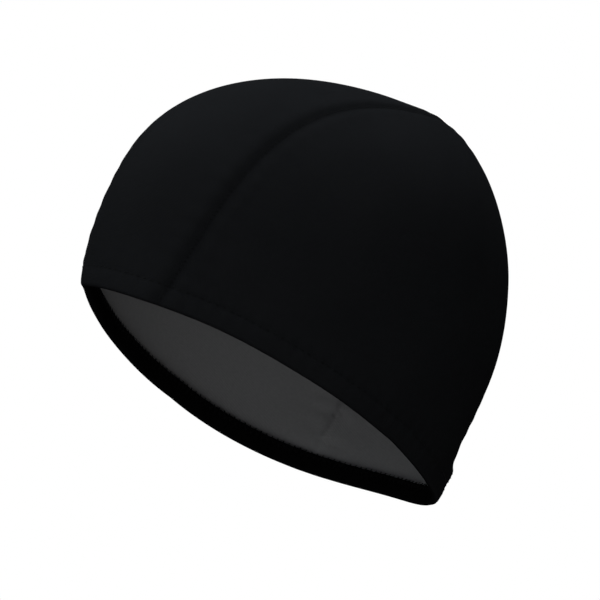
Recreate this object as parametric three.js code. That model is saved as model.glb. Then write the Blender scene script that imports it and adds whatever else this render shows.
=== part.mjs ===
// A swim cap of stretch knit, as it sits on a head: a centre panel from the forehead over the crown to
// the nape, a panel over each ear, and the edge of the cloth turned in around the head opening.
// Millimetres. +Z is up, the forehead faces -Y and +X is the wearer's left. The origin is the middle of
// the head opening. The cap is shaped about an axis that leans back, and is tipped into place at the end.
// A place on it is named by its turn, in radians from the middle of the forehead towards the left ear,
// and its height along that axis.

import * as THREE from 'three';

const degree = Math.PI / 180;

// Cloth and sewing
const clothThickness = 1.2;
const pieceGap = 0.3;
const hemWidth = 8.5;
const foldRadius = 1.2;

// Sections across the leaning axis are ovals about this middle. The temples draw in by a share of them.
const lean = 20.5 * degree;
const crownHeight = 133;
const sectionMiddle = 15;
const templeHollow = 0.04;

// Each profile is the cap's outline on one side of the middle. It reaches furthest at the height called
// widest. Above that it closes in to the crown, squarer as roundness grows. Below it the cloth tucks in
// by tuck for the first tuckSpan of height.
const tuckSpan = 100;
const profiles = {
  front: { reach: 103.5, widest: 53, roundness: 2.05, tuck: 16 },
  back: { reach: 80, widest: 35, roundness: 1.75, tuck: 25 },
  side: { reach: 77.5, widest: 70, roundness: 2.3, tuck: 10 },
};

// Along the leaning axis the rim runs from foreheadRim down to napeRim. It sags below an even slope at
// the ears by earSag. The slope bulges up before the ears and down behind them, as templeLift sets.
const foreheadRim = 21.5;
const napeRim = -21.5;
const earSag = 5;
const templeLift = 6;

// Half the width of the centre panel over the crown, and where each of its ends meets the rim. It keeps
// its width further down from the crown as seamTaper grows.
const crownHalfWidth = 40;
const seamTaper = 3;
const panelEnds = {
  forehead: { halfWidth: 24.5, turn: 19 * degree, from: 0, to: 90 * degree },
  nape: { halfWidth: 42, turn: 144 * degree, from: 180 * degree, to: 90 * degree },
};

// Facets, and how closely places are found and joined
const stationsPerHalf = 18;
const centreColumns = 14;
const sideRows = 15;
const hemColumns = 76;
const halvings = 50;
const settlingPasses = 20;
const jointsPerMillimetre = 10000;

const blackKnit = { color: 0x0e0f11, roughness: 0.8, metalness: 0 };
const hemKnit = { color: 0x050506, roughness: 0.85, metalness: 0 };

// Halves the span until it holds the place where a rising function passes zero.
function findZero(rising, low, high) {
  let below = low;
  let above = high;
  for (let step = 0; step < halvings; step += 1) {
    const middle = (below + above) / 2;
    if (rising(middle) < 0) below = middle;
    else above = middle;
  }
  return (below + above) / 2;
}

function reachAt(profile, height) {
  const climb = Math.max(height - profile.widest, 0) / (crownHeight - profile.widest);
  const fall = Math.max(profile.widest - height, 0) / tuckSpan;
  return profile.reach * Math.sqrt(1 - Math.min(climb, 1) ** profile.roundness) - profile.tuck * fall ** 2;
}

function capPoint(turn, height) {
  const ahead = Math.cos(turn);
  const profile = ahead > 0 ? profiles.front : profiles.back;
  const drawnIn = ahead > 0 ? 1 - templeHollow * Math.sin(2 * turn) ** 2 : 1;
  return new THREE.Vector3(
    reachAt(profiles.side, height) * Math.sin(turn) * drawnIn,
    sectionMiddle - reachAt(profile, height) * ahead * drawnIn,
    height,
  );
}

function outwardAt(turn, height) {
  const turnStep = 0.001;
  const heightStep = 0.01;
  if (crownHeight - height < heightStep) return new THREE.Vector3(0, 0, 1);
  const around = capPoint(turn + turnStep, height).sub(capPoint(turn - turnStep, height));
  const down = capPoint(turn, height - heightStep).sub(capPoint(turn, height));
  return down.cross(around).normalize();
}

function clothPoint(turn, height, depth) {
  return capPoint(turn, height).addScaledVector(outwardAt(turn, height), -depth);
}

function rimHeight(turn) {
  const ahead = Math.cos(turn);
  const aside = Math.sin(turn) ** 2;
  const slope = foreheadRim + (napeRim - foreheadRim) * (1 - ahead) / 2;
  return slope - earSag * aside + templeLift * aside * ahead;
}

function rimPoint(turn) {
  return capPoint(turn, rimHeight(turn));
}

// The height at which the cloth is a given distance from the rim, measured square to the rim
function heightAboveRim(turn, distance) {
  const turnStep = 0.01;
  const heightStep = 1;
  const height = rimHeight(turn);
  const along = rimPoint(turn + turnStep).sub(rimPoint(turn - turnStep)).normalize();
  const climb = capPoint(turn, height + heightStep).sub(capPoint(turn, height));
  return height + distance * heightStep / climb.cross(along).length();
}

// The height at which the seams pass over the crown
const seamTop = findZero((height) => crownHalfWidth - reachAt(profiles.side, height),
  profiles.side.widest, crownHeight);

// Half the width of the centre panel at a height, towards one of its two ends
function halfWidthAt(height, end) {
  const low = rimHeight(end.turn);
  const fall = Math.min(Math.max((seamTop - height) / (seamTop - low), 0), 1);
  return crownHalfWidth + (end.halfWidth - crownHalfWidth) * fall ** seamTaper;
}

// The turn at which the cap at this height is a given distance from its middle plane
function turnAt(height, end, sideways) {
  const share = findZero((s) => capPoint(end.from + (end.to - end.from) * s, height).x - sideways, 0, 1);
  return end.from + (end.to - end.from) * share;
}

// A line over the crown from the forehead to the nape, at a share of the centre panel's half width, and
// widened by extra. The lines at a share of one are the seams. Its two ends lie just above the fold.
function lineOver(share, extra) {
  const widthAt = (height, end) => share * (halfWidthAt(height, end) + extra);
  const top = findZero((height) => widthAt(height, panelEnds.forehead) - reachAt(profiles.side, height),
    profiles.side.widest, crownHeight);
  const halfLine = (end) => {
    let turn = end.turn;
    let low = 0;
    for (let pass = 0; pass < settlingPasses; pass += 1) {
      low = heightAboveRim(turn, foldRadius + pieceGap);
      turn = turnAt(low, end, widthAt(low, end));
    }
    return Array.from({ length: stationsPerHalf + 1 }, (_, station) => {
      const height = low + (top - low) * Math.sin(station / stationsPerHalf * 90 * degree);
      return { turn: turnAt(height, end, widthAt(height, end)), height };
    });
  };
  return [...halfLine(panelEnds.forehead), ...halfLine(panelEnds.nape).reverse().slice(1)];
}

// Skins a row of rings with triangles. Each ring is a closed section, with its outer side listed first
// and its inner side coming back. A loop joins its last ring to its first, and other rows get end caps.
function skinRings(rings, isLoop) {
  const vertices = [];
  const indexOf = new Map();
  const faces = [];
  const addVertex = (point) => {
    const key = point.toArray().map((value) => Math.round(value * jointsPerMillimetre)).join();
    if (!indexOf.has(key)) {
      indexOf.set(key, indexOf.size);
      vertices.push(...point.toArray());
    }
    return indexOf.get(key);
  };
  const addTriangle = (a, b, c) => {
    if (a !== b && b !== c && c !== a) faces.push(a, b, c);
  };
  const addQuad = (a, b, c, d) => {
    addTriangle(a, b, c);
    addTriangle(a, c, d);
  };
  const indexed = rings.map((ring) => ring.map(addVertex));
  const size = indexed[0].length;
  const spans = isLoop ? indexed.length : indexed.length - 1;
  for (let span = 0; span < spans; span += 1) {
    const here = indexed[span];
    const next = indexed[(span + 1) % indexed.length];
    for (let place = 0; place < size; place += 1) {
      const after = (place + 1) % size;
      addQuad(here[place], here[after], next[after], next[place]);
    }
  }
  if (!isLoop) {
    const first = indexed[0];
    const last = indexed[indexed.length - 1];
    for (let place = 0; place < size / 2 - 1; place += 1) {
      const opposite = size - 1 - place;
      addQuad(first[opposite], first[opposite - 1], first[place + 1], first[place]);
      addQuad(last[place], last[place + 1], last[opposite - 1], last[opposite]);
    }
  }
  const geometry = new THREE.BufferGeometry();
  geometry.setAttribute('position', new THREE.Float32BufferAttribute(vertices, 3));
  geometry.setIndex(faces);
  geometry.computeVertexNormals();
  return geometry;
}

// One section of a cloth wall: its outer face along the places, and its inner face coming back
function wallRing(places) {
  const outer = places.map(({ turn, height }) => clothPoint(turn, height, 0));
  const inner = places.map(({ turn, height }) => clothPoint(turn, height, clothThickness));
  return [...outer, ...inner.reverse()];
}

function makeMesh(name, geometry, finish) {
  const mesh = new THREE.Mesh(geometry, new THREE.MeshStandardMaterial(finish));
  mesh.name = name;
  return mesh;
}

function centrePanel() {
  const lines = Array.from({ length: centreColumns + 1 }, (_, column) => {
    const share = 2 * column / centreColumns - 1;
    const line = lineOver(Math.abs(share), -pieceGap / 2);
    return share < 0 ? line.map(({ turn, height }) => ({ turn: -turn, height })) : line;
  });
  const rings = lines[0].map((_, station) => wallRing(lines.map((line) => line[station])));
  return makeMesh('centre_panel', skinRings(rings, false), blackKnit);
}

// A side panel hangs from its seam. Each station of the seam has a row of places down to the fold.
function sidePanel(name, side) {
  const seam = lineOver(1, pieceGap / 2);
  const firstTurn = seam[0].turn;
  const lastTurn = seam[seam.length - 1].turn;
  const rings = seam.map((start, station) => {
    const endTurn = firstTurn + (lastTurn - firstTurn) * station / (seam.length - 1);
    const endHeight = heightAboveRim(endTurn, foldRadius + pieceGap);
    const places = Array.from({ length: sideRows + 1 }, (_, row) => {
      const down = row / sideRows;
      const eased = (down + 1 - Math.cos(down * 90 * degree)) / 2;
      return {
        turn: side * (start.turn + (endTurn - start.turn) * down),
        height: start.height + (endHeight - start.height) * eased,
      };
    });
    return wallRing(side > 0 ? places : places.reverse());
  });
  return makeMesh(name, skinRings(rings, false), blackKnit);
}

// The hem's section is a round fold that wraps under the edge of the panels, and a leaf inside them.
function turnedHem() {
  const leafOuter = clothThickness + pieceGap;
  const leafInner = leafOuter + clothThickness;
  const foldCorner = [0, 45 * degree, 90 * degree].map((bend) => ({
    above: foldRadius * (1 - Math.sin(bend)),
    depth: foldRadius * (1 - Math.cos(bend)),
  }));
  const section = [
    ...foldCorner,
    ...foldCorner.map(({ above, depth }) => ({ above, depth: leafInner - depth })).reverse(),
    { above: hemWidth / 2, depth: leafInner },
    { above: hemWidth, depth: leafInner },
    { above: hemWidth, depth: leafOuter },
    { above: hemWidth / 2, depth: leafOuter },
    { above: foldRadius, depth: leafOuter },
  ];
  const rings = Array.from({ length: hemColumns }, (_, column) => {
    const turn = column / hemColumns * 360 * degree;
    return section.map(({ above, depth }) => clothPoint(turn, heightAboveRim(turn, above), depth));
  });
  return makeMesh('turned_hem', skinRings(rings, true), hemKnit);
}

const cap = new THREE.Group();
cap.rotation.x = -lean;
cap.add(
  centrePanel(),
  sidePanel('left_side_panel', 1),
  sidePanel('right_side_panel', -1),
  turnedHem(),
);

const swimCap = new THREE.Group();
swimCap.add(cap);

export default swimCap;
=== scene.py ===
# A black swim cap of fine stretch knit: three panels sewn edge to edge, with the edge turned in around
# the head opening. Metres. +Z is up, the forehead faces -Y, and +X is the wearer's left. The cap follows
# the solid model and is set out from the same sizes, but its seams lie up to 3 mm closer to the middle.
# It adds the slack in the cloth, the sunk seams, the turned edge, the stitches and the knit.

import math

import bpy
import numpy as np
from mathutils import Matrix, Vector, kdtree, noise


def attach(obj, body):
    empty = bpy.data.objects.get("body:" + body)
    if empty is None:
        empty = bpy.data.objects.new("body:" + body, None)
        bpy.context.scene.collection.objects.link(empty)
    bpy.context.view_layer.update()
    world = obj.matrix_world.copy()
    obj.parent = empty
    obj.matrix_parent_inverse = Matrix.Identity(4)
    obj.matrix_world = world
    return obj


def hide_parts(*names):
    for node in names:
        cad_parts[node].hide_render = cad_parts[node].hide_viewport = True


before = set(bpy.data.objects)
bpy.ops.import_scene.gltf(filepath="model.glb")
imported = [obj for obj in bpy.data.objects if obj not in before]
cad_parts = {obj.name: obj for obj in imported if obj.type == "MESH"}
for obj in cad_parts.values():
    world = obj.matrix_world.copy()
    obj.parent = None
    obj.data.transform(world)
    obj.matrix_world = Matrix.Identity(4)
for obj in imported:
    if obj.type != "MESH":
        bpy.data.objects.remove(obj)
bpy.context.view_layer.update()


def scene_object(name, data):
    """An object made from its data and linked into the scene."""
    made = bpy.data.objects.new(name, data)
    bpy.context.scene.collection.objects.link(made)
    return made


# Camera, as the photograph was taken

FRAME_PIXELS = 600
SENSOR_MILLIMETRES = 36
PHOTO_TURN = math.radians(51.4)
PHOTO_RISE = math.radians(9.8)
PHOTO_DISTANCE = 1.4
PIXELS_PER_METRE = 2470
FARTHEST_SEEN = 200
# A point of the cap, and the pixel at which the photograph shows it
KNOWN_POINT = Vector((0, 0.01405, -0.00525))
KNOWN_PIXEL = (281.9, 406.1)


def make_camera():
    turned = (math.sin(PHOTO_TURN), math.cos(PHOTO_TURN))
    raised = (math.sin(PHOTO_RISE), math.cos(PHOTO_RISE))
    forward = Vector((-turned[0] * raised[1], turned[1] * raised[1], -raised[0]))
    right = Vector((turned[1], turned[0], 0))
    up = Vector((-turned[0] * raised[0], turned[1] * raised[0], raised[1]))
    aside = (FRAME_PIXELS / 2 - KNOWN_PIXEL[0]) / PIXELS_PER_METRE
    above = (KNOWN_PIXEL[1] - FRAME_PIXELS / 2) / PIXELS_PER_METRE
    place = KNOWN_POINT - forward * PHOTO_DISTANCE
    aim = KNOWN_POINT + right * aside + up * above
    data = bpy.data.cameras.new("photo_camera")
    data.sensor_width = SENSOR_MILLIMETRES
    data.lens = data.sensor_width * PHOTO_DISTANCE * PIXELS_PER_METRE / FRAME_PIXELS
    data.clip_end = FARTHEST_SEEN
    camera = scene_object("photo_camera", data)
    camera.location = place
    camera.rotation_euler = (aim - place).to_track_quat("-Z", "Y").to_euler()
    bpy.context.scene.camera = camera


make_camera()

# The cap's shape, with the sizes of the solid model apart from the path of the seams

LEAN = math.radians(20.5)
CROWN_HEIGHT = 0.133
SECTION_MIDDLE = 0.015
TEMPLE_HOLLOW = 0.04
TUCK_SPAN = 0.100
PROFILES = {
    "front": {"reach": 0.1035, "widest": 0.053, "roundness": 2.05, "tuck": 0.016},
    "back": {"reach": 0.0800, "widest": 0.035, "roundness": 1.75, "tuck": 0.025},
    "side": {"reach": 0.0775, "widest": 0.070, "roundness": 2.3, "tuck": 0.010},
}
FOREHEAD_RIM = 0.0215
NAPE_RIM = -0.0215
EAR_SAG = 0.005
TEMPLE_LIFT = 0.006
CROWN_HALF_WIDTH = 0.037
SEAM_TAPER = 3.3
# The two ends of the centre panel: half its width at the rim, the turn there, the turns between which the
# seam lies, and how much the panel swells on its way down from the crown
ENDS = {
    "forehead": {
        "half_width": 0.0245,
        "turn": math.radians(19),
        "from": 0.0,
        "to": math.pi / 2,
        "swell": 0.0055,
    },
    "nape": {
        "half_width": 0.042,
        "turn": math.radians(144),
        "from": math.pi,
        "to": math.pi / 2,
        "swell": 0.0,
    },
}

CLOTH = 0.0012
LAYER_GAP = 0.0003
HEM_WIDTH = 0.0085
FOLD_RADIUS = CLOTH + LAYER_GAP / 2

# Soft forms that the slack cloth takes: middle, reach, and push away from the even shape
SLACK_FORMS = (
    ((0.054, 0.084, 0.026), 0.028, (0.0006, 0.0007, 0.0000)),
    ((0.048, 0.071, -0.022), 0.024, (-0.0009, -0.0009, 0.0005)),
    ((0.021, 0.070, -0.049), 0.022, (0.0000, -0.0003, -0.0010)),
    ((-0.071, 0.008, -0.008), 0.040, (-0.0006, -0.0010, -0.0014)),
    ((-0.032, -0.063, 0.046), 0.022, (0.0006, 0.0009, 0.0004)),
    ((-0.030, -0.059, 0.064), 0.022, (-0.0012, -0.0013, 0.0006)),
    ((-0.029, -0.050, 0.088), 0.028, (0.0008, 0.0008, -0.0005)),
    ((0.003, 0.037, 0.125), 0.034, (0.0000, 0.0000, -0.0010)),
    ((0.037, 0.071, 0.105), 0.032, (0.0003, 0.0006, 0.0009)),
    ((0.058, 0.082, 0.071), 0.028, (-0.0007, -0.0010, -0.0003)),
    ((0.020, -0.067, 0.047), 0.026, (0.0000, 0.0000, -0.0009)),
    ((0.068, -0.011, 0.007), 0.022, (0.0000, 0.0000, 0.0007)),
    ((-0.031, -0.061, 0.054), 0.012, (-0.0006, -0.0008, 0.0002)),
    ((0.022, 0.060, 0.117), 0.014, (0.0000, -0.0001, -0.0006)),
    ((0.036, 0.069, 0.109), 0.012, (0.0002, 0.0004, 0.0007)),
    ((-0.035, -0.062, 0.043), 0.015, (0.0004, 0.0006, 0.0016)),
    ((-0.050, -0.046, 0.032), 0.018, (0.0003, 0.0005, 0.0004)),
    ((0.047, 0.070, -0.021), 0.009, (-0.0005, -0.0006, 0.0000)),
)
slack_middle, slack_reach, slack_push = (np.array(column) for column in zip(*SLACK_FORMS))

# How finely places are found, and how small a step measures a slope
HALVINGS = 48
SETTLING_PASSES = 20
TURN_STEP = 0.001
HEIGHT_STEP = 0.00001


def find_zero(rising, low, high):
    """The places between low and high where a rising function passes zero."""
    for _ in range(HALVINGS):
        middle = (low + high) / 2
        below = rising(middle) < 0
        low = np.where(below, middle, low)
        high = np.where(below, high, middle)
    return (low + high) / 2


def reach_at(name, height):
    """How far the cap's outline stands from the middle of its section, at the front, back or side."""
    profile = PROFILES[name]
    climb = (height - profile["widest"]) / (CROWN_HEIGHT - profile["widest"])
    closing = np.sqrt(1 - np.clip(climb, 0, 1) ** profile["roundness"])
    fall = np.maximum(profile["widest"] - height, 0) / TUCK_SPAN
    return profile["reach"] * closing - profile["tuck"] * fall**2


def cap_point(turn, height):
    """Points on the cap's outer face, by turn from the forehead and height along the leaning axis."""
    turn, height = np.broadcast_arrays(turn, height)
    ahead = np.cos(turn)
    drawn_in_and_painted_shade = 1 - np.where(ahead > 0, TEMPLE_HOLLOW, 0) * np.sin(2 * turn) ** 2
    reach = np.where(ahead > 0, reach_at("front", height), reach_at("back", height))
    x = reach_at("side", height) * np.sin(turn) * drawn_in_and_painted_shade
    y = SECTION_MIDDLE - reach * ahead * drawn_in_and_painted_shade
    back = y * math.cos(LEAN) + height * math.sin(LEAN)
    up = height * math.cos(LEAN) - y * math.sin(LEAN)
    even = np.stack((x, back, up), axis=-1)
    away = np.linalg.norm(even[..., None, :] - slack_middle, axis=-1) / slack_reach
    return even + np.exp(-(away**2)) @ slack_push


def unit(vectors):
    return vectors / np.linalg.norm(vectors, axis=-1, keepdims=True)


def outward_at(turn, height):
    """The way straight out of the cloth. Its steps stay clear of the pole at the crown."""
    clear = np.minimum(height, CROWN_HEIGHT - HEIGHT_STEP)
    around = cap_point(turn + TURN_STEP, clear) - cap_point(turn - TURN_STEP, clear)
    down = cap_point(turn, clear - HEIGHT_STEP) - cap_point(turn, clear)
    return unit(np.cross(down, around))


def rim_height(turn):
    ahead = np.cos(turn)
    aside = np.sin(turn) ** 2
    slope = FOREHEAD_RIM + (NAPE_RIM - FOREHEAD_RIM) * (1 - ahead) / 2
    return slope - EAR_SAG * aside + TEMPLE_LIFT * aside * ahead


def rim_point(turn):
    return cap_point(turn, rim_height(turn))


def height_above_rim(turn, distance):
    """The height at which the cloth is that distance from the rim, measured square to the rim."""
    low = rim_height(turn)
    along = unit(rim_point(turn + TURN_STEP) - rim_point(turn - TURN_STEP))
    climb = (cap_point(turn, low + HEIGHT_STEP) - cap_point(turn, low)) / HEIGHT_STEP
    return low + distance / np.linalg.norm(np.cross(climb, along), axis=-1)


def top_of_line(half_width):
    """The height at which a line that runs over the cap, this far from its middle, is on top of it."""

    def past_outline(height):
        return half_width(height) - reach_at("side", height)

    return find_zero(past_outline, PROFILES["side"]["widest"], CROWN_HEIGHT)


SEAM_TOP = top_of_line(lambda height: CROWN_HALF_WIDTH)


def half_width_at(height, end):
    """Half the width of the centre panel, towards one of its two ends. A third of the way down from the
    crown it is wider than an even taper by 0.6 of the end's swell."""
    low = rim_height(end["turn"])
    fall = np.clip((SEAM_TOP - height) / (SEAM_TOP - low), 0, 1)
    even = CROWN_HALF_WIDTH + (end["half_width"] - CROWN_HALF_WIDTH) * fall**SEAM_TAPER
    return even + end["swell"] * 4 * fall * (1 - fall) ** 2


def turn_at(height, end, sideways):
    """The turn at which the cap at this height is that far from its middle plane."""
    span = end["to"] - end["from"]
    zero = np.zeros_like(height)

    def too_far(share):
        return cap_point(end["from"] + span * share, height)[..., 0] - sideways

    return end["from"] + span * find_zero(too_far, zero, zero + 1)


def line_over(share, stations):
    """Turns and heights of a line over the crown, at a share of the centre panel's half width. The lines
    at a share of one are the seams. Each end lies where the cloth starts to turn in."""

    def width_at(height, end):
        return share * half_width_at(height, end)

    top = top_of_line(lambda height: width_at(height, ENDS["forehead"]))
    climb = np.sin(np.linspace(0, math.pi / 2, stations + 1))
    turns, heights = [], []
    for end in ENDS.values():
        turn = np.float64(end["turn"])
        for _ in range(SETTLING_PASSES):
            low = height_above_rim(turn, FOLD_RADIUS)
            turn = turn_at(low, end, width_at(low, end))
        height = low + (top - low) * climb
        turns.append(turn_at(height, end, width_at(height, end)))
        heights.append(height)
    return tuple(np.append(front, back[-2::-1]) for front, back in (turns, heights))


# How the sewing shapes the cloth, and the painted shade along its lines

# The seams: how deep they sink, the soft rolls and puckers beside them, the painted shade along their
# groove and the ridge of their allowance inside. At the forehead the sewing holds less, by its front share.
SEAM_SINK = 0.0010
SEAM_HALF_WIDTH = 0.0027
SEAM_ROLL = 0.00012
SEAM_ROLL_PLACE = 0.0060
SEAM_PUCKER = 0.00010
SEAM_PUCKER_LENGTH = 0.0085
SEAM_PUCKER_REACH = 0.007
SEAM_DIMPLE = 0.0003
SEAM_PAINTED_SHADE = 0.5
SEAM_PAINTED_SHADE_HALF_WIDTH = 0.0030
SEAM_FRONT_SHARE = 0.6
SEAM_RIDGE = 0.0002
SEAM_RIDGE_HALF_WIDTH = 0.0030
PUCKER_UNEVENNESS = 2.5
PUCKER_UNEVEN_LENGTH = SEAM_PUCKER_LENGTH * 2

# The hem: its stitch line and the painted shade along it, the swell of the fold below it, its puckers, and
# how far up it holds the cloth
HEM_SINK = 0.00014
HEM_SINK_HALF_WIDTH = 0.0012
HEM_PAINTED_SHADE = 0.08
HEM_SWELL = 0.00018
HEM_PUCKER = 0.00008
HEM_PUCKER_LENGTH = 0.0065
HEM_FORM_HALF_WIDTH = HEM_WIDTH * 0.6
HEM_HOLD = HEM_WIDTH * 3

# The welt: a thick place at the nape where each seam runs into the hem. The seam sinks less there.
WELT_RISE = 0.0016
WELT_FOOT_SHARE = 0.3
WELT_HALF_WIDTH = 0.0050
WELT_TOP = 0.0180
WELT_SHOULDER = 0.0030
WELT_SINK_LOSS = 0.5

# The uneven slack of the cloth
SLACK = 0.0005
SLACK_LENGTH = 0.045

# How finely the lines that the sewing follows are set out
PATH_SPACING = 0.0003
RIM_STEPS = 720
SEAM_STEPS = 400


def bell(distance, half_width):
    return np.exp(-((distance / half_width) ** 2))


def ease(value, low, high):
    """Zero up to low, one from high on, and smooth between."""
    share = np.clip((value - low) / (high - low), 0, 1)
    return share * share * (3 - 2 * share)


class Path:
    """A line along the cap, which tells how far a point is from it and how far along it that is."""

    def __init__(self, points):
        steps = np.linalg.norm(np.diff(points, axis=0), axis=1)
        given = np.insert(np.cumsum(steps), 0, 0)
        count = int(given[-1] / PATH_SPACING) + 1
        self.along = np.linspace(0, given[-1], count)
        evenly = np.stack([np.interp(self.along, given, column) for column in points.T], axis=1)
        self.tree = kdtree.KDTree(count)
        for index, point in enumerate(evenly):
            self.tree.insert(point, index)
        self.tree.balance()

    def gap_and_run(self, places):
        found = [self.tree.find(place) for place in places.reshape(-1, 3)]
        gap = np.array([distance for _, _, distance in found])
        run = self.along[[index for _, index, _ in found]]
        return gap.reshape(places.shape[:-1]), run.reshape(places.shape[:-1])


rim_path = Path(rim_point(np.linspace(-math.pi, math.pi, RIM_STEPS + 1)))
seam_turn, seam_height = line_over(1, SEAM_STEPS)
seam_paths = [Path(cap_point(side * seam_turn, seam_height)) for side in (1, -1)]


def slack_noise(places, length):
    """Soft uneven waves, from -1 to 1."""
    flat = places.reshape(-1, 3) / length
    return np.array([noise.noise(Vector(place)) for place in flat]).reshape(places.shape[:-1])


def sewing_relief(places):
    """How far the cloth stands out from the smooth shape, how far inward its seam allowance bulges, and the
    painted shade along the seams' groove and the hem's stitch line, from 0 to 1."""
    gaps, runs = zip(*(path.gap_and_run(places) for path in seam_paths))
    nearer = gaps[0] < gaps[1]
    seam_gap = np.where(nearer, gaps[0], gaps[1])
    seam_run = np.where(nearer, runs[0], runs[1])
    rim_gap, rim_run = rim_path.gap_and_run(places)
    seam_length = seam_paths[0].along[-1]
    at_back = seam_run > seam_length / 2
    in_welt = 1 - ease(rim_gap, WELT_TOP - WELT_SHOULDER, WELT_TOP)
    welt_share = WELT_FOOT_SHARE + (1 - WELT_FOOT_SHARE) * ease(rim_gap, 0, WELT_TOP - WELT_SHOULDER)

    sink = SEAM_SINK * np.where(at_back, 1 - WELT_SINK_LOSS * in_welt, 1)
    in_dimple = bell(rim_gap - HEM_FORM_HALF_WIDTH, HEM_FORM_HALF_WIDTH)
    dimple = SEAM_DIMPLE * np.where(at_back, 0, 1) * in_dimple
    front_third = seam_length / 3
    tightness = SEAM_FRONT_SHARE + (1 - SEAM_FRONT_SHARE) * ease(seam_run, 0, front_third)
    groove = -(sink * tightness + dimple) * bell(seam_gap, SEAM_HALF_WIDTH)
    roll = SEAM_ROLL * bell(seam_gap - SEAM_ROLL_PLACE, SEAM_HALF_WIDTH)
    uneven = slack_noise(places, PUCKER_UNEVEN_LENGTH)
    ripple = np.sin(2 * math.pi * seam_run / SEAM_PUCKER_LENGTH + PUCKER_UNEVENNESS * uneven)
    puckers = SEAM_PUCKER * ripple * bell(seam_gap - SEAM_ROLL_PLACE, SEAM_PUCKER_REACH)

    stitch_line = -HEM_SINK * bell(rim_gap - HEM_WIDTH, HEM_SINK_HALF_WIDTH)
    swell = HEM_SWELL * np.sin(math.pi * np.clip(rim_gap / HEM_WIDTH, 0, 1))
    hem_ripple = np.sin(2 * math.pi * rim_run / HEM_PUCKER_LENGTH + PUCKER_UNEVENNESS * uneven)
    hem_puckers = HEM_PUCKER * hem_ripple * bell(rim_gap - HEM_WIDTH, HEM_FORM_HALF_WIDTH)

    welt = np.where(at_back, WELT_RISE, 0) * bell(seam_gap, WELT_HALF_WIDTH) * in_welt * welt_share
    slack = SLACK * slack_noise(places, SLACK_LENGTH) * ease(rim_gap, 0, HEM_HOLD)
    out = groove + roll + puckers + stitch_line + swell + hem_puckers + welt + slack
    ridge = SEAM_RIDGE * bell(seam_gap, SEAM_RIDGE_HALF_WIDTH) * ease(rim_gap, HEM_WIDTH, HEM_HOLD)
    # Painted shade: darker along the seams' groove, less towards the forehead, and along the hem's stitch
    # line
    seam_painted_shade = SEAM_PAINTED_SHADE * tightness * bell(seam_gap, SEAM_PAINTED_SHADE_HALF_WIDTH)
    hem_painted_shade = HEM_PAINTED_SHADE * bell(rim_gap - HEM_WIDTH, HEM_SINK_HALF_WIDTH)
    return out, ridge + welt, np.maximum(seam_painted_shade, hem_painted_shade)


# Meshes

STATIONS = 150
HALF_COLUMNS = 28
SIDE_ROWS = 84
CROWDING = math.radians(78)
FOLD_STEPS = 9
SHARP_EDGE = math.radians(55)


def crowded(count):
    """Steps from minus one to one that come closer together towards both ends."""
    return np.sin(np.linspace(-1, 1, count) * CROWDING) / math.sin(CROWDING)


def fold_rows(turn, radius):
    """The rows of one face that carry the cloth round the fold, from the outside to the inside."""
    bend = np.linspace(0, math.pi, FOLD_STEPS + 1)[1:, None]
    above = FOLD_RADIUS - radius * np.sin(bend)
    depth = FOLD_RADIUS - radius * np.cos(bend)
    turns = np.broadcast_to(turn, (FOLD_STEPS, len(turn)))
    return turns, height_above_rim(turns, above), np.broadcast_to(depth, turns.shape)


def with_folds(turn, height, at_start, radius):
    """Turns, heights and depths of one face of a panel, which is folded at its last row and, where
    at_start says so, at its first row too."""
    depth = np.full_like(turn, FOLD_RADIUS - radius)
    parts = [(turn, height, depth), fold_rows(turn[-1], radius)]
    if at_start:
        parts.insert(0, tuple(rows[::-1] for rows in fold_rows(turn[0], radius)))
    return tuple(np.concatenate(rows) for rows in zip(*parts))


def cloth_faces(turn, height, at_start):
    """The outer and inner face of a panel as grids of points, with the sewing's relief in both, and the
    painted shade of each place of the outer face, darker along the seams, the hem's line and the fold."""
    outer_turn, outer_height, outer_depth = with_folds(turn, height, at_start, FOLD_RADIUS)
    inner_turn, inner_height, inner_depth = with_folds(turn, height, at_start, FOLD_RADIUS - CLOTH)
    smooth = cap_point(outer_turn, outer_height)
    out, ridge, drawn_in_and_painted_shade = sewing_relief(smooth)
    shift = out * (1 - outer_depth / (2 * FOLD_RADIUS))
    outward = outward_at(outer_turn, outer_height)
    outer = smooth + outward * (shift - outer_depth)[..., None]
    inner_outward = outward_at(inner_turn, inner_height)
    plain = outer_depth == 0
    inner_shift = shift - np.where(plain, ridge, 0)
    inner = cap_point(inner_turn, inner_height) + inner_outward * (inner_shift - inner_depth)[..., None]
    # The outer face's painted shade, which is full where the cloth turns round the fold
    return outer, inner, np.maximum(drawn_in_and_painted_shade, ease(outer_depth, 0, FOLD_RADIUS))


def grid_quads(rows, columns, start, flipped):
    corner = np.arange(rows * columns).reshape(rows, columns) + start
    around = (corner[:-1, :-1], corner[:-1, 1:], corner[1:, 1:], corner[1:, :-1])
    quads = np.stack(around, axis=-1).reshape(-1, 4)
    return quads[:, ::-1] if flipped else quads


def rim_quads(rows, columns, flipped):
    """The narrow faces that join the outer face of a sheet to its inner face, all round."""
    corner = np.arange(rows * columns).reshape(rows, columns)
    loop = np.concatenate((corner[0, :-1], corner[:-1, -1], corner[-1, :0:-1], corner[:0:-1, 0]))
    after = np.roll(loop, -1)
    inner = rows * columns
    quads = np.stack((after, loop, loop + inner, after + inner), axis=-1)
    return quads[:, ::-1] if flipped else quads


def cloth_places(points):
    """Flat places in metres for a grid of points, so that the knit keeps its size over the panel."""
    across = np.linalg.norm(np.diff(points, axis=1), axis=2).cumsum(axis=1)
    across = np.concatenate((np.zeros((len(points), 1)), across), axis=1)
    across -= across[:, -1:] / 2
    middle = points[:, points.shape[1] // 2]
    down = np.insert(np.linalg.norm(np.diff(middle, axis=0), axis=1).cumsum(), 0, 0)
    return np.stack((across, np.broadcast_to(down[:, None], across.shape)), axis=-1)


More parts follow.
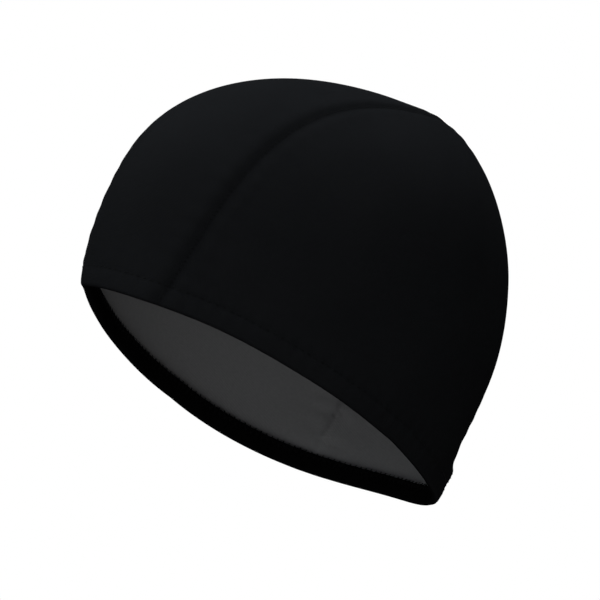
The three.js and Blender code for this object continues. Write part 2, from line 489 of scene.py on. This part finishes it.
def cloth_object(name, outer, inner, drawn_in_and_painted_shade, flipped):
    """A closed sheet from its two faces, black outside and round its edge, and grey inside."""
    rows, columns = outer.shape[:2]
    size = rows * columns
    faces = [
        grid_quads(rows, columns, 0, flipped),
        rim_quads(rows, columns, flipped),
        grid_quads(rows, columns, size, not flipped),
    ]
    quads = np.concatenate(faces)
    points = np.concatenate((outer.reshape(-1, 3), inner.reshape(-1, 3)))
    mesh = bpy.data.meshes.new(name)
    mesh.from_pydata(points.tolist(), [], quads.tolist())
    for material in (black_knit, grey_knit):
        mesh.materials.append(material)
    inside = np.repeat([0, 0, 1], [len(part) for part in faces]).astype(np.int32)
    mesh.polygons.foreach_set("material_index", inside)
    layer = mesh.uv_layers.new(name="cloth_place")
    places = cloth_places(outer).reshape(-1, 2)
    flat = np.concatenate((places, places))
    layer.data.foreach_set("uv", flat[quads.reshape(-1)].astype(np.float32).reshape(-1))
    # Painted shade on the outer face, and none on the inner face
    shade = mesh.attributes.new("drawn_in_and_painted_shade", "FLOAT", "POINT")
    shade.data.foreach_set("value", np.append(drawn_in_and_painted_shade, np.zeros(size)).astype(np.float32))
    mesh.polygons.foreach_set("use_smooth", np.ones(len(quads), bool))
    mesh.set_sharp_from_angle(angle=SHARP_EDGE)
    mesh.update()
    return scene_object(name, mesh)


# Node helpers


def add_node(tree, kind, inputs=None, **settings):
    """A node with its settings and inputs. An input is a value, or another node's output to link."""
    node = tree.nodes.new(kind)
    for name, value in settings.items():
        setattr(node, name, value)
    for name, value in (inputs or {}).items():
        if isinstance(value, bpy.types.NodeSocket):
            tree.links.new(value, node.inputs[name])
        else:
            node.inputs[name].default_value = value
    return node


def math_node(tree, operation, *values):
    """The output of a Math node."""
    return add_node(tree, "ShaderNodeMath", dict(enumerate(values)), operation=operation).outputs[0]


def new_tree(name, kind, inputs, outputs):
    """A node group, with its named inputs (type, value) and outputs (type)."""
    tree = bpy.data.node_groups.new(name, kind)
    for label, (socket_type, value) in inputs.items():
        socket = tree.interface.new_socket(label, in_out="INPUT", socket_type=socket_type)
        if value is not None:
            socket.default_value = value
    for label, socket_type in outputs.items():
        tree.interface.new_socket(label, in_out="OUTPUT", socket_type=socket_type)
    return tree, tree.nodes.new("NodeGroupInput"), tree.nodes.new("NodeGroupOutput")


FLOAT = "NodeSocketFloat"
VECTOR = "NodeSocketVector"
COLOUR = "NodeSocketColor"
GEOMETRY = "NodeSocketGeometry"
MATERIAL = "NodeSocketMaterial"

# Finishes

WALE_WIDTH = 0.00065
COURSE_HEIGHT = 0.00055
FURROW_SHARPNESS = 4
FURROW_SHADE = 0.35
KNIT_DEPTH = 0.0002
THREAD_DEPTH = 0.0001


def make_knit_group():
    """Columns of V-shaped loops: their height, and a line of painted shade between the columns."""
    tree, given, result = new_tree(
        "fine_knit",
        "ShaderNodeTree",
        {
            "Cloth Place": (VECTOR, None),
            "Wale Width": (FLOAT, WALE_WIDTH),
            "Course Height": (FLOAT, COURSE_HEIGHT),
            "Loop Slant": (FLOAT, 0.9),
        },
        {"Height": FLOAT, "Furrow": FLOAT},
    )
    place = add_node(tree, "ShaderNodeSeparateXYZ", {0: given.outputs["Cloth Place"]})
    column = math_node(tree, "DIVIDE", place.outputs["X"], given.outputs["Wale Width"])
    course = math_node(tree, "DIVIDE", place.outputs["Y"], given.outputs["Course Height"])
    aside = math_node(tree, "ABSOLUTE", math_node(tree, "SUBTRACT", math_node(tree, "FRACT", column), 0.5))
    slanted = math_node(tree, "MULTIPLY_ADD", aside, given.outputs["Loop Slant"], course)
    wave = math_node(tree, "SINE", math_node(tree, "MULTIPLY", slanted, 2 * math.pi))
    loop = math_node(tree, "MULTIPLY_ADD", wave, 0.5, 0.5)
    furrow = math_node(tree, "POWER", math_node(tree, "MULTIPLY", aside, 2), FURROW_SHARPNESS)
    crest = math_node(tree, "SUBTRACT", 1, furrow)
    tree.links.new(math_node(tree, "MULTIPLY", loop, crest), result.inputs["Height"])
    tree.links.new(furrow, result.inputs["Furrow"])
    return tree


def make_tone_group():
    """Soft patches where the cloth is a little lighter or darker, with a finer grain over them, and painted
    shade where the mesh marks it, along the seams, the hem's stitch line and the fold."""
    tree, given, result = new_tree(
        "cloth_tone",
        "ShaderNodeTree",
        {
            "Colour": (COLOUR, (0.01, 0.01, 0.01, 1)),
            "Patch Size": (FLOAT, 0.03),
            "Patch Strength": (FLOAT, 0.15),
            "Grain Size": (FLOAT, 0.0012),
            "Grain Strength": (FLOAT, 0.1),
            "Furrow": (FLOAT, 0.0),
            "Painted Shade": (FLOAT, 0.0),
            "Painted Shade Strength": (FLOAT, 0.65),
        },
        {"Colour": COLOUR, "Brightness": FLOAT},
    )
    place = add_node(tree, "ShaderNodeTexCoord").outputs["Object"]
    shade = 1.0
    for layer in ("Patch", "Grain"):
        scale = math_node(tree, "DIVIDE", 1, given.outputs[f"{layer} Size"])
        spots = add_node(tree, "ShaderNodeTexNoise", {"Vector": place, "Scale": scale, "Detail": 3.0})
        centred = math_node(tree, "SUBTRACT", spots.outputs[0], 0.5)
        change = math_node(tree, "MULTIPLY", centred, given.outputs[f"{layer} Strength"])
        shade = math_node(tree, "MULTIPLY_ADD", change, 2, shade)
    # Painted shade in the knit's furrows
    hollow = math_node(tree, "MULTIPLY_ADD", given.outputs["Furrow"], -FURROW_SHADE, shade)
    # Painted shade darkens the colour by its strength
    painted_shade_amount = math_node(tree, "MULTIPLY", given.outputs["Painted Shade"], given.outputs["Painted Shade Strength"])
    kept = math_node(tree, "MULTIPLY", hollow, math_node(tree, "SUBTRACT", 1, painted_shade_amount))
    toned = add_node(
        tree, "ShaderNodeVectorMath", {0: given.outputs["Colour"], "Scale": kept}, operation="SCALE"
    )
    tree.links.new(toned.outputs[0], result.inputs["Colour"])
    tree.links.new(hollow, result.inputs["Brightness"])
    return tree


knit_group = make_knit_group()
tone_group = make_tone_group()


def new_material(name):
    """A material, with its node tree and its main shader."""
    material = bpy.data.materials.new(name)
    material.use_nodes = True
    return material, material.node_tree, material.node_tree.nodes["Principled BSDF"]


def make_knit(name, colour, roughness, bump, patches):
    """A knit finish without shine, on the cloth's own flat places."""
    material, tree, shader = new_material(name)
    place = add_node(tree, "ShaderNodeUVMap", uv_map="cloth_place").outputs["UV"]
    knit = add_node(tree, "ShaderNodeGroup", node_tree=knit_group)
    tree.links.new(place, knit.inputs["Cloth Place"])
    tone = add_node(tree, "ShaderNodeGroup", node_tree=tone_group)
    tone.inputs["Colour"].default_value = (*colour, 1)
    tone.inputs["Patch Strength"].default_value = patches
    tree.links.new(knit.outputs["Furrow"], tone.inputs["Furrow"])
    # Painted shade from the mesh: darker along the seams, the hem's stitch line and the fold
    drawn_in_and_painted_shade = add_node(tree, "ShaderNodeAttribute", attribute_name="drawn_in_and_painted_shade")
    tree.links.new(drawn_in_and_painted_shade.outputs["Fac"], tone.inputs["Painted Shade"])
    tree.links.new(tone.outputs["Colour"], shader.inputs["Base Color"])
    rough = math_node(tree, "MULTIPLY", tone.outputs["Brightness"], roughness)
    tree.links.new(math_node(tree, "MINIMUM", rough, 1.0), shader.inputs["Roughness"])
    relief = add_node(
        tree,
        "ShaderNodeBump",
        {"Strength": bump, "Distance": KNIT_DEPTH, "Height": knit.outputs["Height"]},
    )
    tree.links.new(relief.outputs["Normal"], shader.inputs["Normal"])
    shader.inputs["Specular IOR Level"].default_value = 0
    return material


def make_thread(name, colour):
    """Matt sewing thread with a fine grain."""
    material, tree, shader = new_material(name)
    tone = add_node(tree, "ShaderNodeGroup", node_tree=tone_group)
    tone.inputs["Colour"].default_value = (*colour, 1)
    tone.inputs["Grain Size"].default_value = 0.0004
    tone.inputs["Grain Strength"].default_value = 0.25
    tree.links.new(tone.outputs["Colour"], shader.inputs["Base Color"])
    relief = add_node(
        tree,
        "ShaderNodeBump",
        {"Strength": 0.4, "Distance": THREAD_DEPTH, "Height": tone.outputs["Brightness"]},
    )
    tree.links.new(relief.outputs["Normal"], shader.inputs["Normal"])
    shader.inputs["Roughness"].default_value = 0.8
    shader.inputs["Specular IOR Level"].default_value = 0.02
    return material


black_knit = make_knit("black_knit_face", (0.0042, 0.0045, 0.0050), roughness=0.9, bump=0.3, patches=0.14)
grey_knit = make_knit("grey_knit_inside", (0.119, 0.122, 0.128), roughness=0.95, bump=0.2, patches=0.03)
# The turned-in band is the same black knit made darker: painted shade for the band inside the cap
hem_knit = make_knit("black_hem_face_painted_shade", (0.0015, 0.0015, 0.0016), roughness=0.9, bump=0.3, patches=0.1)
black_thread = make_thread("black_thread", (0.0025, 0.0027, 0.0029))
# Lighter than the grey inside: painted light that evens out the threads' own shadows on the cloth
grey_thread_painted_light = make_thread("grey_thread_painted_light", (0.140, 0.143, 0.148))

# The three panels


def centre_panel():
    """The panel over the crown, with the edge turned in at both its ends."""
    shares = crowded(2 * HALF_COLUMNS + 1)
    lines = [line_over(abs(share), STATIONS) for share in shares]
    turn = np.stack([np.copysign(line[0], share) for line, share in zip(lines, shares)], axis=1)
    height = np.stack([line[1] for line in lines], axis=1)
    outer, inner, drawn_in_and_painted_shade = cloth_faces(turn, height, at_start=True)
    return cloth_object("centre_panel_cloth", outer, inner, drawn_in_and_painted_shade, flipped=True)


def side_panel(name, side):
    """A panel that hangs from its seam. Each place on the seam has a row of places down to the rim."""
    start_turn, start_height = line_over(1, STATIONS)
    down = (crowded(SIDE_ROWS + 1)[:, None] + 1) / 2
    end_turn = np.linspace(start_turn[0], start_turn[-1], len(start_turn))
    end_height = height_above_rim(end_turn, FOLD_RADIUS)
    eased = (down + 1 - np.cos(down * math.pi / 2)) / 2
    turn = start_turn + (end_turn - start_turn) * down
    height = start_height + (end_height - start_height) * eased
    outer, inner, drawn_in_and_painted_shade = cloth_faces(side * turn, height, at_start=False)
    return cloth_object(name, outer, inner, drawn_in_and_painted_shade, flipped=side > 0)


centre = centre_panel()
left = side_panel("left_side_cloth", 1)
right = side_panel("right_side_cloth", -1)

# Sewing and hem, along paths


def path_object(name, lines):
    """A mesh of plain lines (points, way out of the cloth, whether it closes) for the node trees."""
    points, outward, edges = [], [], []
    for line, normals, closes in lines:
        first = len(points)
        points.extend(line.tolist())
        outward.extend(normals.tolist())
        edges.extend((first + index, first + index + 1) for index in range(len(line) - 1))
        if closes:
            edges.append((len(points) - 1, first))
    mesh = bpy.data.meshes.new(name)
    mesh.from_pydata(points, edges, [])
    attribute = mesh.attributes.new("outward", "FLOAT_VECTOR", "POINT")
    attribute.data.foreach_set("vector", np.array(outward, np.float32).reshape(-1))
    return scene_object(name, mesh)


def made_by(tree, holder, settings):
    """Runs a node tree on a path and leaves its result as a plain mesh."""
    modifier = holder.modifiers.new("making", "NODES")
    modifier.node_group = tree
    sockets = {item.name: item.identifier for item in tree.interface.items_tree if item.in_out == "INPUT"}
    for label, value in settings.items():
        modifier[sockets[label]] = value
    bpy.context.view_layer.update()
    evaluated = holder.evaluated_get(bpy.context.evaluated_depsgraph_get())
    mesh = bpy.data.meshes.new_from_object(evaluated)
    holder.modifiers.remove(modifier)
    mesh.name = holder.name
    holder.data = mesh
    return holder


THREAD_SIDES = 6
ARCH_STEPS = 6
ROUNDING_STEPS = 3


def stored(tree, name, data_type="FLOAT_VECTOR"):
    """The output of an attribute that the path carries."""
    return add_node(tree, "GeometryNodeInputNamedAttribute", {"Name": name}, data_type=data_type).outputs[0]


def finish_tree(tree, geometry, material, result):
    """Ends a tree: instances made real, shaded smooth, and given their material."""
    real = add_node(tree, "GeometryNodeRealizeInstances", {0: geometry})
    smooth = add_node(tree, "GeometryNodeSetShadeSmooth", {0: real.outputs[0]})
    given = {"Geometry": smooth.outputs[0], "Material": material}
    finish = add_node(tree, "GeometryNodeSetMaterial", given)
    tree.links.new(finish.outputs[0], result.inputs[0])


def make_stitch_tree():
    """A row of stitches along a path. Each is an arch of thread, turned about the way out of the cloth."""
    tree, given, result = new_tree(
        "stitch_row",
        "GeometryNodeTree",
        {
            "Path": (GEOMETRY, None),
            "Stitch Length": (FLOAT, 0.0026),
            "Stitch Spacing": (FLOAT, 0.0031),
            "Thread Radius": (FLOAT, 0.00016),
            "Arch": (FLOAT, 0.00035),
            "Bury": (FLOAT, 0.0003),
            "Turn": (FLOAT, 0.0),
            "Zigzag": (FLOAT, 0.0),
            "Thread": (MATERIAL, None),
        },
        {"Geometry": GEOMETRY},
    )
    curve = add_node(tree, "GeometryNodeMeshToCurve", {"Mesh": given.outputs["Path"]})
    spaced = add_node(
        tree,
        "GeometryNodeResampleCurve",
        {"Curve": curve.outputs[0], "Length": given.outputs["Stitch Spacing"]},
        mode="LENGTH",
    )
    tangent = add_node(tree, "GeometryNodeInputTangent")
    standing = add_node(
        tree,
        "FunctionNodeAxesToRotation",
        {"Primary Axis": stored(tree, "outward"), "Secondary Axis": tangent.outputs[0]},
        primary_axis="Z",
        secondary_axis="X",
    )
    index = add_node(tree, "GeometryNodeInputIndex").outputs[0]
    to_and_fro = math_node(tree, "MULTIPLY_ADD", math_node(tree, "MODULO", index, 2), -2, 1)
    swing = math_node(tree, "MULTIPLY_ADD", to_and_fro, given.outputs["Zigzag"], given.outputs["Turn"])
    angles = add_node(tree, "ShaderNodeCombineXYZ", {"Z": swing})
    turned = add_node(tree, "FunctionNodeEulerToRotation", {0: angles.outputs[0]})
    rotation = add_node(
        tree,
        "FunctionNodeRotateRotation",
        {"Rotation": standing.outputs[0], "Rotate By": turned.outputs[0]},
        rotation_space="LOCAL",
    )
    half = math_node(tree, "MULTIPLY", given.outputs["Stitch Length"], 0.5)
    buried = math_node(tree, "MULTIPLY", given.outputs["Bury"], -1)
    ends = []
    for sign in (-1, 1):
        along = math_node(tree, "MULTIPLY", half, sign)
        ends.append(add_node(tree, "ShaderNodeCombineXYZ", {"X": along, "Z": buried}).outputs[0])
    # The arch rises half way to its handle, so the handle stands twice as high above the buried ends
    lift = math_node(tree, "MULTIPLY_ADD", given.outputs["Arch"], 2, given.outputs["Bury"])
    top = add_node(tree, "ShaderNodeCombineXYZ", {"Z": lift})
    arch = add_node(
        tree,
        "GeometryNodeCurveQuadraticBezier",
        {"Resolution": ARCH_STEPS, "Start": ends[0], "Middle": top.outputs[0], "End": ends[1]},
    )
    ring = add_node(
        tree,
        "GeometryNodeCurvePrimitiveCircle",
        {"Resolution": THREAD_SIDES, "Radius": given.outputs["Thread Radius"]},
    )
    stitch = add_node(
        tree,
        "GeometryNodeCurveToMesh",
        {"Curve": arch.outputs[0], "Profile Curve": ring.outputs[0], "Fill Caps": True},
    )
    placed = add_node(
        tree,
        "GeometryNodeInstanceOnPoints",
        {"Points": spaced.outputs[0], "Instance": stitch.outputs[0], "Rotation": rotation.outputs[0]},
    )
    finish_tree(tree, placed.outputs[0], given.outputs["Thread"], result)
    return tree


def make_hem_tree():
    """The turned-in edge: a flat band swept along its path, drawn in where the stitches hold it."""
    tree, given, result = new_tree(
        "turned_edge",
        "GeometryNodeTree",
        {
            "Path": (GEOMETRY, None),
            "Band Width": (FLOAT, HEM_WIDTH),
            "Cloth Thickness": (FLOAT, CLOTH),
            "Edge Rounding": (FLOAT, 0.0004),
            "Pucker Depth": (FLOAT, 0.00015),
            "Pucker Length": (FLOAT, HEM_PUCKER_LENGTH),
            "Cloth": (MATERIAL, None),
        },
        {"Geometry": GEOMETRY},
    )
    curve = add_node(tree, "GeometryNodeMeshToCurve", {"Mesh": given.outputs["Path"]})
    upright = add_node(
        tree,
        "GeometryNodeSetCurveNormal",
        {"Curve": curve.outputs[0], "Normal": stored(tree, "outward")},
        mode="FREE",
    )
    run = add_node(tree, "GeometryNodeSplineParameter").outputs["Length"]
    noted = add_node(
        tree,
        "GeometryNodeStoreNamedAttribute",
        {"Geometry": upright.outputs[0], "Name": "run", "Value": run},
        data_type="FLOAT",
        domain="POINT",
    )
    outline = add_node(
        tree,
        "GeometryNodeCurvePrimitiveQuadrilateral",
        {"Width": given.outputs["Cloth Thickness"], "Height": given.outputs["Band Width"]},
    )
    rounded = add_node(
        tree,
        "GeometryNodeFilletCurve",
        {
            "Curve": outline.outputs[0],
            "Count": ROUNDING_STEPS,
            "Radius": given.outputs["Edge Rounding"],
            "Limit Radius": True,
        },
        mode="POLY",
    )
    band = add_node(
        tree, "GeometryNodeCurveToMesh", {"Curve": noted.outputs[0], "Profile Curve": rounded.outputs[0]}
    )
    phase = math_node(tree, "DIVIDE", stored(tree, "run", "FLOAT"), given.outputs["Pucker Length"])
    wave = math_node(tree, "SINE", math_node(tree, "MULTIPLY", phase, 2 * math.pi))
    push = math_node(tree, "MULTIPLY", wave, given.outputs["Pucker Depth"])
    offset = add_node(
        tree, "ShaderNodeVectorMath", {0: stored(tree, "outward"), "Scale": push}, operation="SCALE"
    )
    puckered = add_node(
        tree, "GeometryNodeSetPosition", {"Geometry": band.outputs[0], "Offset": offset.outputs[0]}
    )
    finish_tree(tree, puckered.outputs[0], given.outputs["Cloth"], result)
    return tree


stitch_tree = make_stitch_tree()
hem_tree = make_hem_tree()


def around_rim(above, depth):
    """A closed line on the cloth or inside it, at one distance above the rim and one depth. On the cloth it
    follows the sewing's relief."""
    turn = np.linspace(-math.pi, math.pi, RIM_STEPS, endpoint=False)
    height = height_above_rim(turn, above)
    outward = outward_at(turn, height)
    smooth = cap_point(turn, height)
    out, _, _ = sewing_relief(smooth)
    on_face = out if depth == 0 else 0 * out
    return smooth + outward * (on_face - depth)[:, None], outward, True


def along_seams(depth, first=0, last=None):
    """Both seam lines, or a stretch of each: at no depth in the bottom of the groove, and else inside on
    the seam allowance."""
    lines = []
    for side in (1, -1):
        smooth = cap_point(side * seam_turn, seam_height)[first:last]
        outward = outward_at(side * seam_turn, seam_height)[first:last]
        out, ridge, _ = sewing_relief(smooth)
        inward = depth + (ridge if depth > 0 else 0 * ridge)
        lines.append((smooth + outward * (out - inward)[:, None], outward, False))
    return lines


# Where the band inside starts above the rim, how far its edge stitches lie below its top, and how many
# steps short of the rim the stitches on the seams' inside stop
BAND_FOOT = 0.0010
EDGE_INSET = 0.001
INSIDE_END = 24

band_middle = (BAND_FOOT + HEM_WIDTH) / 2
band_depth = CLOTH + LAYER_GAP + CLOTH / 2
hem = made_by(
    hem_tree,
    path_object("turned_hem_cloth", [around_rim(band_middle, band_depth)]),
    {"Band Width": HEM_WIDTH - BAND_FOOT, "Cloth": hem_knit},
)
hem_stitches = made_by(
    stitch_tree,
    path_object("hem_topstitching", [around_rim(HEM_WIDTH, 0)]),
    {"Thread Radius": 0.00012, "Arch": 0.00018, "Thread": black_thread},
)
edge_depth = 2 * CLOTH + LAYER_GAP
edge_line, edge_outward, closes = around_rim(HEM_WIDTH - EDGE_INSET, edge_depth)
edge_stitches = made_by(
    stitch_tree,
    path_object("hem_edge_overlock", [(edge_line, -edge_outward, closes)]),
    {
        "Stitch Length": 0.0036,
        "Stitch Spacing": 0.0013,
        "Thread Radius": 0.00014,
        "Turn": math.pi / 2,
        "Zigzag": math.radians(28),
        "Thread": black_thread,
    },
)
seam_stitches = made_by(
    stitch_tree,
    path_object("seam_ladder_stitches", along_seams(0)),
    {
        "Stitch Length": 0.0020,
        "Stitch Spacing": 0.0019,
        "Thread Radius": 0.00012,
        "Arch": 0.00025,
        "Turn": math.pi / 2,
        "Thread": black_thread,
    },
)
inside_lines = [
    (line, -outward, closes) for line, outward, closes in along_seams(CLOTH, INSIDE_END, -INSIDE_END)
]
seam_overlock = made_by(
    stitch_tree,
    path_object("seam_overlock_inside", inside_lines),
    {
        "Stitch Length": 0.0046,
        "Stitch Spacing": 0.0017,
        "Thread Radius": 0.00008,
        "Arch": 0.00006,
        "Turn": math.pi / 2,
        "Zigzag": math.radians(20),
        "Thread": grey_thread_painted_light,
    },
)


def give_cloth_places(mesh):
    """Flat places in metres for the knit of the turned edge, along the rim and away from it."""
    place = np.zeros((len(mesh.vertices), 3))
    mesh.vertices.foreach_get("co", place.reshape(-1))
    gap, run = rim_path.gap_and_run(place)
    corners = np.zeros(len(mesh.loops), np.int32)
    mesh.loops.foreach_get("vertex_index", corners)
    layer = mesh.uv_layers.new(name="cloth_place")
    layer.data.foreach_set("uv", np.stack((run, gap), axis=1)[corners].astype(np.float32).reshape(-1))


give_cloth_places(hem.data)

# Each piece hangs from the root body; the solid model's panels and hem that they replace are hidden

for piece, node, material_slot in (
    (centre, "centre_panel", "black_knit"),
    (left, "left_side_panel", "black_knit"),
    (right, "right_side_panel", "black_knit"),
    (hem, "turned_hem", "hem_knit"),
):
    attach(piece, "root")
    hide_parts(node)

for piece, material_slot in (
    (hem_stitches, "black_knit"),
    (edge_stitches, "hem_knit"),
    (seam_stitches, "black_knit"),
    (seam_overlock, "black_knit"),
):
    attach(piece, "root")

# Floor, light and surroundings

FLOOR_DEPTH = 0.9
FLOOR_SIZE = 120
FLOOR_COLOUR = (0.20, 0.19, 0.18)
WHITE = (1, 1, 1, 1)
SURROUND_STRENGTH = 0.05
FILL_SIZE = 0.7
FILL_DISTANCE = 0.8


def white_to_the_eye(tree, seen, lit):
    """A shader that the camera sees as one thing, while the cap is lit by another."""
    by_eye = add_node(tree, "ShaderNodeLightPath").outputs["Is Camera Ray"]
    return add_node(tree, "ShaderNodeMixShader", {0: by_eye, 1: lit, 2: seen}).outputs[0]


def make_floor():
    half = FLOOR_SIZE / 2
    corners = [(-half, -half), (half, -half), (half, half), (-half, half)]
    mesh = bpy.data.meshes.new("floor")
    mesh.from_pydata([(x, y, -FLOOR_DEPTH) for x, y in corners], [], [(0, 1, 2, 3)])
    material, tree, shader = new_material("pale_floor")
    shader.inputs["Base Color"].default_value = (*FLOOR_COLOUR, 1)
    shader.inputs["Roughness"].default_value = 1
    shader.inputs["Specular IOR Level"].default_value = 0
    seen = add_node(tree, "ShaderNodeEmission", {"Color": WHITE}).outputs[0]
    mixed = white_to_the_eye(tree, seen, shader.outputs[0])
    tree.links.new(mixed, tree.nodes["Material Output"].inputs["Surface"])
    mesh.materials.append(material)
    floor = scene_object("floor", mesh)


def light_source(towards_camera, upward, sideways):
    """The way from the cap to a light: up in the world's terms, and the rest in the camera's."""
    basis = bpy.context.scene.camera.rotation_euler.to_matrix()
    return basis @ Vector((sideways, 0, towards_camera)) + Vector((0, 0, upward))


def make_light(name, kind, energy, colour, source):
    """A light that shines from its source towards the cap."""
    data = bpy.data.lights.new(name, kind)
    data.energy = energy
    data.color = colour
    light = scene_object(name, data)
    light.rotation_euler = (-source).to_track_quat("-Z", "Y").to_euler()
    return light


def make_sun(name, strength, softness, colour, source):
    """A distant light. Its softness is the angle that it fills, in degrees."""
    sun = make_light(name, "SUN", strength, colour, source)
    sun.data.angle = math.radians(softness)


def make_fill(name, watts, colour, source):
    """A broad panel of light near the cap."""
    away = source.normalized()
    panel = make_light(name, "AREA", watts, colour, away)
    panel.data.shape = "DISK"
    panel.data.size = FILL_SIZE
    panel.location = KNOWN_POINT + away * FILL_DISTANCE
    panel.visible_camera = False


def make_world():
    """A white backdrop to the eye that gives the cap only a weak fill light."""
    world = bpy.data.worlds.new("studio")
    bpy.context.scene.world = world
    world.use_nodes = True
    tree = world.node_tree
    seen = tree.nodes["Background"]
    seen.inputs["Color"].default_value = WHITE
    fill = add_node(tree, "ShaderNodeBackground", {"Color": WHITE, "Strength": SURROUND_STRENGTH})
    mixed = white_to_the_eye(tree, seen.outputs[0], fill.outputs[0])
    tree.links.new(mixed, tree.nodes["World Output"].inputs["Surface"])


make_floor()
make_world()
make_sun(
    "key_light",
    strength=8.0,
    softness=110,
    colour=(0.97, 0.99, 1.0),
    source=light_source(towards_camera=-0.05, upward=1.0, sideways=-0.25),
)
make_sun(
    "back_light",
    strength=2.0,
    softness=60,
    colour=(0.97, 0.98, 1.0),
    source=light_source(towards_camera=-0.45, upward=0.9, sideways=0.2),
)
make_fill(
    "opening_fill",
    watts=1.7,
    colour=(1.0, 1.0, 1.0),
    source=light_source(towards_camera=1.0, upward=-0.6, sideways=-0.35),
)
bpy.context.scene.view_settings.view_transform = "Standard"
